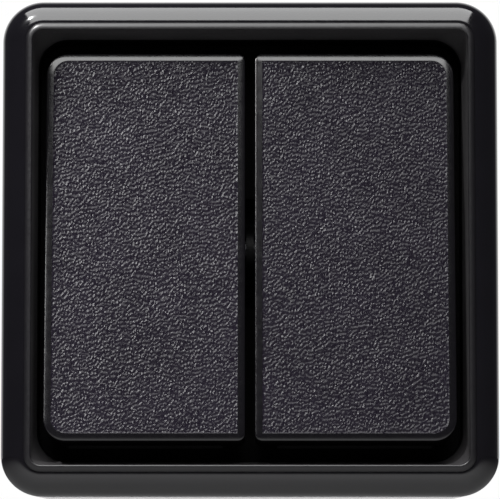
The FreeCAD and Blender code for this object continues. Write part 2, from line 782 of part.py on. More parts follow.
def make_rocker(label, way):
    """Rocker cap about its pivot: rounded face edge, skirt, end lips, bearing notch and catches."""
    half = ROCKER_HALF_WIDTH
    length = ROCKER_HALF_LENGTH
    far = S.rocker_corner
    near = S.rocker_split_corner
    radii = (near, far, far, near) if way > 0 else (far, near, near, far)
    cap = Moulding(label)
    cap.pad(
        "XY_Plane", -SKIRT_REACH, S.rocker_skirt,
        lambda k: rounded(k, -half, half, -length, length, radii),
    )
    cap.fillet(S.rocker_edge, lambda edge: at_level(edge, S.rocker_rise))
    wall = S.rocker_wall
    far_inner = far - wall
    near_inner = near / 2
    inner_radii = (near_inner, far_inner, far_inner, near_inner)
    if way < 0:
        inner_radii = (far_inner, near_inner, near_inner, far_inner)
    cap.pocket(
        "XY_Plane", -SKIRT_REACH, S.rocker_skirt - S.rocker_face,
        lambda k: rounded(k, wall - half, half - wall, wall - length, length - wall, inner_radii), True,
    )
    for end in (-1, 1):
        lip = sorted(((end * length), (end * (length + S.lip_reach))), key=lambda size: size.value)
        cap.pad("XY_Plane", -SKIRT_REACH, S.lip_height, lambda k: rectangle(k, far - half, half - far, *lip))
    notch = S.pin_radius + S.notch_gap
    start = -half if way > 0 else half - wall
    cap.pocket("YZ_Plane", start, wall, lambda k: disc(k, 0, 0, notch), True)
    cap.pocket("YZ_Plane", start, wall, lambda k: rectangle(k, -notch, notch, -SKIRT_REACH, 0), True)
    plate_end = S.cradle_length / 2
    plate_under = ROCKER_UNDER - S.cradle_plate
    catch_low = plate_under - S.catch_gap - S.catch_hook_height
    catch_half = S.catch_width / 2
    inner = plate_end + S.catch_gap
    for end in (-1, 1):
        outer = end * (inner + S.catch_thickness)
        rib = sorted((end * inner, outer), key=lambda size: size.value)
        hook = sorted((end * (inner - S.catch_hook), outer), key=lambda size: size.value)
        for rise, span in ((ROCKER_UNDER - catch_low, rib), (S.catch_hook_height, hook)):
            cap.pad("XY_Plane", catch_low, rise, lambda k: rectangle(k, -catch_half, catch_half, *span))
    stand(cap.body, way * GANG_X, 0, PIVOT_Z, -S.rocker_tilt)


def make_cradle(label, way):
    """Lever under a rocker: hub on the pin, plate that carries the rocker, tube for the plunger."""
    half = S.cradle_width / 2
    length = S.cradle_length / 2
    lever = Moulding(label)
    lever.pad("YZ_Plane", -half, S.cradle_width, lambda k: disc(k, 0, 0, ROCKER_UNDER - S.hub_gap))
    lever.pad(
        "XY_Plane", ROCKER_UNDER - S.cradle_plate, S.cradle_plate,
        lambda k: rectangle(k, -half, half, -length, length),
    )
    lever.pad("XY_Plane", -S.guide_reach, S.guide_reach, lambda k: disc(k, 0, 0, S.guide_radius))
    lever.pocket("YZ_Plane", -half, S.cradle_width, lambda k: disc(k, 0, 0, S.pin_radius + S.pin_fit), True)
    bore = S.plunger_radius + S.plunger_fit
    depth = S.guide_reach - S.guide_roof
    lever.pocket("XY_Plane", -S.guide_reach, depth, lambda k: disc(k, 0, 0, bore), True)
    stand(lever.body, way * GANG_X, 0, PIVOT_Z, -S.rocker_tilt)


def make_plunger(label, way):
    """Plunger with a stem for the spring and a round tip."""
    tip_z = S.plunger_tip - S.plunger_reach
    taper_z = tip_z + S.plunger_taper
    tip = DOC.addObject("Part::Sphere", "Tip")
    bind(tip, {"Radius": S.plunger_tip, "Placement.Base.z": tip_z})
    taper = DOC.addObject("Part::Cone", "Taper")
    bind(taper, {"Radius1": S.plunger_tip, "Radius2": S.plunger_radius, "Height": S.plunger_taper})
    bind(taper, {"Placement.Base.z": tip_z})
    shaft = rod("Shaft", 0, 0, taper_z, S.plunger_radius, -S.plunger_head - taper_z)
    stem = rod("Stem", 0, 0, -S.plunger_head, S.stem_radius, S.stem_height)
    stand(fused(label, [tip, taper, shaft, stem]), way * GANG_X, 0, PIVOT_Z, -S.rocker_tilt)


def make_spring(label, way):
    """Coil spring between the roof of the guide tube and the plunger."""
    low = S.spring_wire + S.spring_gap - S.plunger_head
    room = S.plunger_head - S.guide_roof - (S.spring_wire + S.spring_gap) * 2
    helix = DOC.addObject("Part::Helix", "Helix")
    bind(helix, {"Radius": S.spring_radius, "Height": room, "Pitch": room / S.spring_turns})
    bind(helix, {"Placement.Base.z": low})
    wire = DOC.addObject("Part::RegularPolygon", "Wire")
    wire.Polygon = WIRE_FACES
    bind(wire, {"Circumradius": S.spring_wire, "Placement.Base.x": S.spring_radius, "Placement.Base.z": low})
    wire.Placement.Rotation = FreeCAD.Rotation(X_AXIS, 90)
    coil = DOC.addObject("Part::Sweep", label)
    coil.Label = label
    coil.Sections = [wire]
    coil.Spine = helix
    coil.Solid = True
    coil.Frenet = True
    stand(coil, way * GANG_X, 0, PIVOT_Z, -S.rocker_tilt)


def make_seesaw(label, way):
    """Rocking contact strip with two cheeks astride its knife edge."""
    half = S.seesaw_width / 2
    length = S.seesaw_length / 2
    cheek = S.cheek_length / 2
    strip = Moulding(label)
    strip.pad("XY_Plane", 0, S.seesaw_thickness, lambda k: rectangle(k, -half, half, -length, length))
    for left in (-half, half - S.cheek_thickness):
        strip.pad(
            "XY_Plane", -S.cheek_height, S.cheek_height,
            lambda k: rectangle(k, left, left + S.cheek_thickness, -cheek, cheek),
        )
    hole = S.rivet_radius + S.rivet_fit
    strip.pocket("XY_Plane", S.seesaw_thickness, S.seesaw_thickness, lambda k: disc(k, 0, CONTACT_Y, hole))
    stand(strip.body, way * GANG_X, 0, SEESAW_Z, S.seesaw_tilt)


def make_moving_contact(label, way):
    """Domed contact rivet under the end of a seesaw."""
    y = CONTACT_Y
    head = rod("Head", 0, y, -S.contact_head, S.contact_radius, S.contact_head)
    dome = DOC.addObject("Part::Sphere", "Dome")
    bind(dome, {"Radius": S.contact_dome})
    bind(dome, {"Placement.Base.y": y, "Placement.Base.z": S.contact_dome - S.contact_head})
    domed = DOC.addObject("Part::MultiCommon", "DomedHead")
    domed.Shapes = [head, dome]
    shank = rod("Shank", 0, y, 0, S.rivet_radius, S.seesaw_thickness + S.rivet_head)
    button = rod("Button", 0, y, S.seesaw_thickness, S.rivet_head_radius, S.rivet_head)
    stand(fused(label, [domed, shank, button]), way * GANG_X, 0, SEESAW_Z, S.seesaw_tilt)


def fixed_contact_top():
    """Level of the flat contact: it clears the moving dome by the closed gap when the seesaw is over."""
    arm = S.contact_dome - S.contact_head
    centre_z = SEESAW_Z - CONTACT_Y * sine(S.seesaw_tilt) + arm * cosine(S.seesaw_tilt)
    return centre_z - S.contact_dome - S.contact_closed_gap


def make_fixed_contact(label, way):
    """Flat contact rivet on an output bar."""
    x = way * GANG_X
    head = rod("Head", x, CONTACT_Y, BAR_TOP_Z, S.contact_radius, fixed_contact_top() - BAR_TOP_Z)
    shank = rod("Shank", x, CONTACT_Y, BAR_Z, S.rivet_radius, S.bar_thickness)
    stand(fused(label, [head, shank]))


def make_common_bar():
    """Brass bar under both seesaws, with a knife edge for each and a tail into the line clamp."""
    reach = GANG_X + S.bar_end
    width = S.common_bar_width / 2
    tail = S.output_bar_width / 2
    end_y = -CLAMP_Y - S.clamp_length / 2
    knife_half = S.seesaw_width / 2 - S.cheek_thickness - S.fulcrum_side_gap
    knife_radius = S.fulcrum_thickness / 2
    knife_z = SEESAW_Z - (knife_radius + S.fulcrum_gap) / cosine(S.seesaw_tilt)
    items = [
        block("Strip", -reach, reach, -width, width, BAR_Z, BAR_TOP_Z),
        block("Tail", -tail, tail, end_y, -width, BAR_Z, BAR_TOP_Z),
    ]
    for _, way in GANGS:
        left = way * GANG_X - knife_half
        right = way * GANG_X + knife_half
        items.append(block("Tab", left, right, -knife_radius, knife_radius, BAR_TOP_Z, knife_z))
        items.append(lying_rod("Knife", left, 0, knife_z, knife_radius, knife_half * 2))
    stand(fused("common_bar", items))


def make_output_bar(label, way):
    """Brass bar from a fixed contact into an output clamp."""
    x = way * GANG_X
    half = S.output_bar_width / 2
    start = CONTACT_Y - half
    strip = block("Strip", x - half, x + half, start, CLAMP_Y + S.clamp_length / 2, BAR_Z, BAR_TOP_Z)
    hole = rod("Hole", x, CONTACT_Y, BAR_Z, S.rivet_radius + S.rivet_fit, S.bar_thickness)
    stand(cut(label, strip, hole))


def make_clamp(label, x, y):
    """Clamp cage bent from strip, open along the wire, with a threaded roof."""
    half = S.clamp_width / 2
    cage = Moulding(label)
    cage.pad(
        "XZ_Plane", -S.clamp_length / 2, S.clamp_length,
        lambda k: rounded(k, -half, half, CLAMP_Z, CLAMP_TOP_Z, S.clamp_wall),
    )
    inner = half - S.clamp_wall
    cage.pocket(
        "XZ_Plane", -S.clamp_length / 2, S.clamp_length,
        lambda k: rectangle(k, -inner, inner, BAR_Z, CLAMP_TOP_Z - S.clamp_roof), True,
    )
    bore = S.screw_radius + S.screw_fit
    cage.pocket("XY_Plane", CLAMP_TOP_Z, S.clamp_roof, lambda k: disc(k, 0, 0, bore))
    stand(cage.body, x, y)


def make_screw(label, x, y, head_z, shank_length):
    """Slotted pan head screw, with its thread left plain."""
    screw = Moulding(label)
    screw.pad("XY_Plane", 0, S.screw_head_height, lambda k: disc(k, 0, 0, S.screw_head_radius))
    screw.chamfer(S.screw_head_edge, lambda edge: at_level(edge, S.screw_head_height))
    screw.pad("XY_Plane", 0, shank_length, lambda k: disc(k, 0, 0, S.screw_radius), True)
    reach = S.screw_head_radius + S.screw_head_edge
    width = S.screw_slot_width / 2
    screw.pocket(
        "XY_Plane", S.screw_head_height, S.screw_slot_depth,
        lambda k: rectangle(k, -reach, reach, -width, width),
    )
    stand(screw.body, x, y, head_z)


def make_screws():
    """Three terminal screws, two that hold the insert and two that hold the housing."""
    head_z = COVER_Z + S.head_gap
    for name, x, y in CLAMPS:
        make_screw(f"terminal_screw_{name}", x, y, head_z, head_z - BAR_TOP_Z - S.wire_space)
    seat_z = COVER_TOP_Z - S.counterbore_depth
    for name, x, y in INSERT_SCREWS:
        make_screw(f"insert_screw_{name}", x, y, seat_z, seat_z - S.bore_floor * 2)
    for name, x, y in HOUSING_SCREWS:
        make_screw(f"housing_screw_{name}", x, y, FLOOR_Z, FLOOR_Z - INSERT_Z - S.bore_floor * 2)


def make_all():
    """Build every piece of the switch."""
    make_housing()
    make_base_plate()
    make_insert_base()
    make_bearing_cover()
    make_pivot_pin()
    for name, way in GANGS:
        make_rocker(f"rocker_{name}", way)
        make_cradle(f"cradle_{name}", way)
        make_plunger(f"plunger_{name}", way)
        make_spring(f"spring_{name}", way)
        make_seesaw(f"seesaw_{name}", way)
        make_moving_contact(f"moving_contact_{name}", way)
        make_fixed_contact(f"fixed_contact_{name}", way)
        make_output_bar(f"output_bar_{name}", way)
    make_common_bar()
    for name, x, y in CLAMPS:
        make_clamp(f"clamp_{name}", x, y)
    make_screws()


def write_parts():
    """Check every object, then write one file for each piece."""
    DOC.recompute()
    faults = [item.Label for item in DOC.Objects if {"Invalid", "Error"} & set(item.State)]
    faults += [item.Label for item in PIECES if item.Shape.isNull() or not item.Shape.isValid()]
    if faults:
        raise ValueError(f"faulty objects: {faults}")
    os.makedirs("parts", exist_ok=True)
    for item in PIECES:
        item.Shape.exportStep(f"parts/{item.Label}.step")
        box = item.Shape.BoundBox
        ends = [box.XMin, box.XMax, box.YMin, box.YMax, box.ZMin, box.ZMax]
        spans = " ".join(f"{end:.2f}" for end in ends)
        print(f"{item.Label}: {len(item.Shape.Solids)} solid, {item.Shape.Volume:.1f} mm3, {spans}")


make_all()
write_parts()
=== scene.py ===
"""Looks of the surface mounted light switch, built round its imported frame."""

import json
import logging
import math
from dataclasses import dataclass, field
from enum import Enum

import bpy
import numpy as np
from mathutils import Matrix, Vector
from mathutils.geometry import tessellate_polygon


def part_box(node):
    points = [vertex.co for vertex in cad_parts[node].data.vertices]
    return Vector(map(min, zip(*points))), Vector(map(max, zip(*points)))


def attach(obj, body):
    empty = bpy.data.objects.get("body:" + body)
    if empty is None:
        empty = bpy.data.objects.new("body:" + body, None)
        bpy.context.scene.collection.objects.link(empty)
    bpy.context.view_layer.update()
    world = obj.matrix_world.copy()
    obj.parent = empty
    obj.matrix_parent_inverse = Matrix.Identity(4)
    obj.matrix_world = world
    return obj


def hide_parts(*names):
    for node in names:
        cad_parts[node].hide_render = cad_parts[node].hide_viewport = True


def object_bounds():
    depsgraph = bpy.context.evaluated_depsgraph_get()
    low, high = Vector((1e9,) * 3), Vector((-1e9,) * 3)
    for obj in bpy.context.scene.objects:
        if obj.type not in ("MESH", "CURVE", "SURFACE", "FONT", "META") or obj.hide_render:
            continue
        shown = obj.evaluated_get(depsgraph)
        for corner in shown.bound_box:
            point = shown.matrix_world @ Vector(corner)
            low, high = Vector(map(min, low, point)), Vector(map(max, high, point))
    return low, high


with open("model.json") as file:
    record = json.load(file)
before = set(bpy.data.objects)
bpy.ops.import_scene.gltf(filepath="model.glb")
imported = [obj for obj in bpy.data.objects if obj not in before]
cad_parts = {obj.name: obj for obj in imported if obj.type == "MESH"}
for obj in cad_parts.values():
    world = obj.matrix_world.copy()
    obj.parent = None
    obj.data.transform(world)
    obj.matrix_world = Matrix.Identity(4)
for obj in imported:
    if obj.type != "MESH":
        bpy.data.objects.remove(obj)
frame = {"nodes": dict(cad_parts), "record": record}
CAD_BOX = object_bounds()
LOG = logging.getLogger("light_switch")
MM = 0.001
# Stretch of a noise value that the colours and sheens are spread over
NOISE_MIDDLE = (0.3, 0.7)
# Millimetres within which a point counts as lying on a wall or an end
NEAR = 0.01


class Side(Enum):
    """The two gangs, with the way each lies from the middle."""

    LEFT = -1
    RIGHT = 1

    @property
    def word(self) -> str:
        """Name of the side in node and body names."""
        return self.name.lower()


def box_mm(node: str) -> np.ndarray:
    """Corners of a CAD node in millimetres.

    Args:
        node: Name of the CAD node.

    Returns:
        Array of two rows, the lowest and the highest corner.
    """
    low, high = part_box(node)
    return np.array([low, high]) / MM


def to_frame(points: np.ndarray) -> np.ndarray:
    """Turn bench millimetres (x right, y up, z out of the wall) into the frame's metres.

    Args:
        points: Array of points, one in each row.

    Returns:
        The same points in the frame: x stays, z points into the room against y, y goes up.
    """
    return np.stack([points[:, 0], -points[:, 2], points[:, 1]], axis=1) * MM


@dataclass(frozen=True)
class Noise:
    """One layer of solid noise in object space."""

    grain_mm: float
    detail: float = 2.0
    roughness: float = 0.5


class Graph:
    """Nodes of one material while it is being built, with every pattern in object coordinates."""

    def __init__(self, name: str) -> None:
        """Start a material.

        Args:
            name: Name of the finish.
        """
        self.material = bpy.data.materials.new(name)
        self.material.use_nodes = True
        self.nodes = self.material.node_tree.nodes
        self.links = self.material.node_tree.links
        self.shader = self.nodes["Principled BSDF"]
        self.place = self.nodes.new("ShaderNodeTexCoord").outputs["Object"]

    def noise(self, noise: Noise) -> bpy.types.NodeSocket:
        """Add a layer of solid noise.

        Args:
            noise: Size and character of the noise.

        Returns:
            The noise value's socket.
        """
        node = self.nodes.new("ShaderNodeTexNoise")
        node.inputs["Scale"].default_value = 1 / (MM * noise.grain_mm)
        node.inputs["Detail"].default_value = noise.detail
        node.inputs["Roughness"].default_value = noise.roughness
        self.links.new(self.place, node.inputs["Vector"])
        return node.outputs["Fac"]

    def streaks(self, sizes_mm: tuple[float, float, float], detail: float) -> bpy.types.NodeSocket:
        """Add a noise that is stretched to streaks.

        Args:
            sizes_mm: Size of the streaks along x, y and z.
            detail: Finer layers on top of the first.

        Returns:
            The noise value's socket.
        """
        stretch = self.nodes.new("ShaderNodeMapping")
        stretch.inputs["Scale"].default_value = tuple(1 / (MM * size) for size in sizes_mm)
        self.links.new(self.place, stretch.inputs["Vector"])
        node = self.nodes.new("ShaderNodeTexNoise")
        node.inputs["Scale"].default_value = 1.0
        node.inputs["Detail"].default_value = detail
        self.links.new(stretch.outputs["Vector"], node.inputs["Vector"])
        return node.outputs["Fac"]

    def color(self, value: bpy.types.NodeSocket, dark: tuple, light: tuple) -> None:
        """Blend the base colour between two colours over the middle of a noise.

        Args:
            value: Socket that drives the blend.
            dark: Colour at the low end.
            light: Colour at the high end.
        """
        ramp = self.nodes.new("ShaderNodeValToRGB")
        for element, position, color in zip(ramp.color_ramp.elements, NOISE_MIDDLE, (dark, light)):
            element.position = position
            element.color = (*color, 1)
        self.links.new(value, ramp.inputs["Fac"])
        self.links.new(ramp.outputs["Color"], self.shader.inputs["Base Color"])

    def roughness(self, value: bpy.types.NodeSocket, low: float, high: float) -> None:
        """Spread the middle of a noise over a range of roughness.

        Args:
            value: Socket to spread.
            low: Roughness at the low end.
            high: Roughness at the high end.
        """
        spread = self.nodes.new("ShaderNodeMapRange")
        ends = {"From Min": NOISE_MIDDLE[0], "From Max": NOISE_MIDDLE[1], "To Min": low, "To Max": high}
        for name, end in ends.items():
            spread.inputs[name].default_value = end
        self.links.new(value, spread.inputs["Value"])
        self.links.new(spread.outputs["Result"], self.shader.inputs["Roughness"])

    def relief(self, value: bpy.types.NodeSocket, depth_mm: float) -> None:
        """Raise the surface by a noise.

        Args:
            value: Height's socket.
            depth_mm: Height of the relief.
        """
        bump = self.nodes.new("ShaderNodeBump")
        bump.inputs["Strength"].default_value = 1.0
        bump.inputs["Distance"].default_value = depth_mm * MM
        self.links.new(value, bump.inputs["Height"])
        self.links.new(bump.outputs["Normal"], self.shader.inputs["Normal"])


@dataclass(frozen=True)
class Plastic:
    """Moulded plastic: a base colour with faint clouds, an uneven sheen and a fine relief."""

    name: str
    base: tuple[float, float, float]
    roughness: float
    sheen_range: float
    relief_mm: float
    relief_depth_mm: float
    clouds: Noise = Noise(6.0)
    cloud_depth: float = 0.12
    relief_detail: float = 3.0
    specular: float = 0.5

    def build(self) -> bpy.types.Material:
        """Make the material.

        Returns:
            The new material.
        """
        graph = Graph(self.name)
        dark = tuple(part * (1 - self.cloud_depth) for part in self.base)
        light = tuple(part * (1 + self.cloud_depth) for part in self.base)
        graph.color(graph.noise(self.clouds), dark, light)
        fine = graph.noise(Noise(self.relief_mm, self.relief_detail))
        graph.roughness(fine, self.roughness - self.sheen_range, self.roughness + self.sheen_range)
        graph.shader.inputs["Specular IOR Level"].default_value = self.specular
        graph.relief(fine, self.relief_depth_mm)
        return graph.material


@dataclass(frozen=True)
class Metal:
    """Bare or plated metal, drawn or stamped, with fine streaks along one direction."""

    name: str
    base: tuple[float, float, float]
    roughness: float
    streak_mm: tuple[float, float, float]
    streak_detail: float = 3.0
    streak_depth_mm: float = 0.004
    sheen_share: float = 0.3
    clouds: Noise = Noise(2.5, 4.0)
    tarnish: float = 0.18

    def build(self) -> bpy.types.Material:
        """Make the material.

        Returns:
            The new material.
        """
        graph = Graph(self.name)
        dull = tuple(part * (1 - self.tarnish) for part in self.base)
        graph.color(graph.noise(self.clouds), dull, self.base)
        streak = graph.streaks(self.streak_mm, self.streak_detail)
        spread = self.roughness * self.sheen_share
        graph.roughness(streak, self.roughness - spread, self.roughness + spread)
        graph.shader.inputs["Metallic"].default_value = 1.0
        graph.relief(streak, self.streak_depth_mm)
        return graph.material


# Plastic: name, colour, roughness and its range, size and depth of the relief in millimetres
# Metal: name, colour, roughness, size of the streaks in millimetres
FINISHES = (
    Plastic("gloss_black", (0.0020, 0.0018, 0.0025), 0.10, 0.02, 0.9, 0.0015),
    Plastic("bead_black", (0.0030, 0.0027, 0.0034), 0.34, 0.04, 0.35, 0.004, specular=0.35),
    # painted light: the funnel's base colour is many times lighter than the rest of the same moulding,
    # standing in for light that its walls catch
    Plastic("funnel_black_painted_light", (0.022, 0.021, 0.022), 0.46, 0.04, 0.35, 0.006, specular=0.4),
    # painted shade: the well's finish is darker than the funnel's and all but unreflecting, standing in for
    # the shade deep in the well
    Plastic("well_black_painted_shade", (0.0012, 0.0011, 0.0013), 0.60, 0.05, 0.30, 0.008, specular=0.06),
    Plastic("edge_black", (0.0012, 0.0010, 0.0015), 0.15, 0.02, 0.8, 0.0010),
    # painted light: the faces' faint lavender tint stands in for the tint of the lamp that lights them
    Plastic("satin_black", (0.0056, 0.0045, 0.0074), 0.24, 0.04, 0.22, 0.040, specular=0.12),
    Plastic("skirt_black", (0.0014, 0.0012, 0.0015), 0.50, 0.04, 0.3, 0.004, specular=0.08),
    # painted shade: the bearing cover is made near black, darker than the finish of its slot in the record,
    # for the shade of the split between the rockers
    Plastic("cover_painted_shade", (0.0020, 0.0020, 0.0021), 0.55, 0.05, 0.3, 0.008, specular=0.05),
    Plastic("matte_black", (0.035, 0.034, 0.036), 0.55, 0.05, 0.3, 0.01),
    Plastic("thermoset", (0.30, 0.30, 0.29), 0.5, 0.06, 0.25, 0.01, Noise(1.2, 5.0)),
    Plastic("white_plastic", (0.72, 0.71, 0.67), 0.34, 0.05, 0.4, 0.006),
    # painted shade: the pin's steel is darkened for the shade of the split, where its ends show
    Metal("pin_steel_painted_shade", (0.045, 0.045, 0.048), 0.50, (0.6, 0.06, 0.6)),
    Metal("steel", (0.62, 0.62, 0.61), 0.28, (0.6, 0.06, 0.6)),
    Metal("brass", (0.72, 0.53, 0.25), 0.26, (0.5, 0.5, 0.05)),
    Metal("silver", (0.80, 0.79, 0.76), 0.22, (0.15, 0.15, 0.15)),
)
MATERIALS = {finish.name: finish.build() for finish in FINISHES}


def loop_strip(count: int, first: int, second: int) -> np.ndarray:
    """Quads between two closed rings of the same number of points.

    Args:
        count: Points in each ring.
        first: Index of the first ring's first point.
        second: Index of the second ring's first point.

    Returns:
        Array of quads. Point i of both rings is joined to point i + 1, the last to the first.
    """
    here = np.arange(count)
    after = (here + 1) % count
    return np.stack([first + here, first + after, second + after, second + here], axis=1)


class MeshDraft:
    """Points and faces of one piece while it is being worked out, in bench millimetres."""

    def __init__(self) -> None:
        """Start empty."""
        self.points: list[np.ndarray] = []
        self.quads: list[np.ndarray] = []
        self.triangles: list[np.ndarray] = []
        self.quad_slots: list[np.ndarray] = []
        self.triangle_slots: list[np.ndarray] = [np.zeros(0, np.int32)]
        self.count = 0

    def add_points(self, points: np.ndarray) -> int:
        """Add points.

        Args:
            points: Array of points, one in each row.

        Returns:
            Index of the first of them.
        """
        first = self.count
        self.points.append(points)
        self.count += len(points)
        return first

    def add_quads(self, quads: np.ndarray, slot: int = 0) -> None:
        """Add four-sided faces.

        Args:
            quads: Array of point indices.
            slot: Material slot of these faces.
        """
        self.quads.append(quads)
        self.quad_slots.append(np.full(len(quads), slot, np.int32))

    def add_flat(self, rings: list[tuple[int, np.ndarray]], up: bool, slot: int = 0) -> None:
        """Fill a flat outline that has holes.

        Args:
            rings: The outline and its holes, each as its first index and its points.
            up: Whether the face looks along +z.
            slot: Material slot of these faces.
        """
        lines = [[Vector(point) for point in points] for _, points in rings]
        indices = np.concatenate([first + np.arange(len(points)) for first, points in rings])
        flat = np.concatenate([points for _, points in rings])
        found = np.array(tessellate_polygon(lines))
        a, b, c = (flat[found[:, k]] for k in range(3))
        area = np.cross(b - a, c - a)[:, 2]
        turned = (area > 0) != up
        found[turned] = found[turned][:, ::-1]
        self.triangles.append(indices[found])
        self.triangle_slots.append(np.full(len(found), slot, np.int32))

    def finish(self, name: str, sharp_degrees: float) -> bpy.types.Object:
        """Make the object.

        Args:
            name: Name of the piece.
            sharp_degrees: Edges that turn more than this stay sharp.

        Returns:
            The new object, in the frame's metres.
        """
        points = to_frame(np.concatenate(self.points))
        quads = np.concatenate(self.quads)
        triangles = np.concatenate(self.triangles) if self.triangles else np.zeros((0, 3), int)
        mesh = bpy.data.meshes.new(name)
        mesh.vertices.add(len(points))
        mesh.vertices.foreach_set("co", points.astype(np.float32).ravel())
        corners = np.concatenate([quads.ravel(), triangles.ravel()]).astype(np.int32)
        mesh.loops.add(len(corners))
        mesh.loops.foreach_set("vertex_index", corners)
        sides = np.concatenate([np.full(len(quads), 4), np.full(len(triangles), 3)])
        starts = np.concatenate([[0], np.cumsum(sides)[:-1]])
        mesh.polygons.add(len(sides))
        mesh.polygons.foreach_set("loop_start", starts.astype(np.int32))
        slots = np.concatenate(self.quad_slots + self.triangle_slots)
        mesh.polygons.foreach_set("material_index", slots.astype(np.int32))
        mesh.update(calc_edges=True)
        mesh.validate()
        mesh.shade_smooth()
        mesh.set_sharp_from_angle(angle=math.radians(sharp_degrees))
        piece = bpy.data.objects.new(name, mesh)
        bpy.context.scene.collection.objects.link(piece)
        return piece


@dataclass(frozen=True)
class Ring:
    """Rounded rectangle at one level of a moulding."""

    half_x: float
    half_y: float
    corner: float
    level: float

    def points(self, side_steps: int, corner_steps: int) -> np.ndarray:
        """Points round the rectangle, anticlockwise seen from the front.

        Each corner is a quarter circle of even steps, and each side a straight run of even
        steps between two of them.

        Args:
            side_steps: Steps along each side.
            corner_steps: Steps round each corner.

        Returns:
            Array of points, starting at the foot of the upper right corner's arc.
        """
        quarter = np.linspace(0, math.pi / 2, corner_steps + 1)
        centre_x = self.half_x - self.corner
        centre_y = self.half_y - self.corner
        signs = ((1, 1), (-1, 1), (-1, -1), (1, -1))
        arcs = []
        for turn, (sign_x, sign_y) in enumerate(signs):
            angle = turn * math.pi / 2 + quarter
            x = sign_x * centre_x + self.corner * np.cos(angle)
            y = sign_y * centre_y + self.corner * np.sin(angle)
            arcs.append(np.stack([x, y], axis=1))
        steps = np.linspace(0, 1, side_steps + 1)[1:-1, None]
        runs = []
        for arc, following in zip(arcs, arcs[1:] + arcs[:1]):
            runs += [arc, arc[-1] + (following[0] - arc[-1]) * steps]
        plan = np.concatenate(runs)
        return np.column_stack([plan, np.full(len(plan), self.level)])


